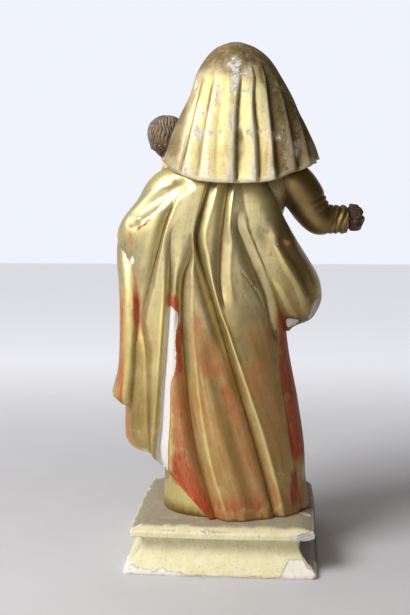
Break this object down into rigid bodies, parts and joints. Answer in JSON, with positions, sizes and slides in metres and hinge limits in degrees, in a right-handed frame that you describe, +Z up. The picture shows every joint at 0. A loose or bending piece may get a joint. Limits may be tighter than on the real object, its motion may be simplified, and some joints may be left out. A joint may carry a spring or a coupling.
{
  "type": "wooden madonna statue",
  "caption": "Carved and gilded wooden madonna holding the Child, veiled, in a mantle with deep back folds, on a painted moulded square plinth; one hand is broken.",
  "frame": {"origin": "centre of the plinth's underside", "axes": "+Z up, the statue faces -Y, her left side with the Child is +X"},
  "size_m": [0.1902, 0.1398, 0.38],
  "materials": {
    "painted_plinth": "worn matt paint over gesso, chipped to white",
    "gilded_wood": "burnished gold leaf over red bole and white gesso, rubbed and chipped",
    "bare_wood": "dark bare wood, broken ends"
  },
  "bodies": {
    "root": {"plinth": "painted_plinth", "madonna_and_child": "gilded_wood", "right_hand": "bare_wood"}
  },
  "joints": []
}
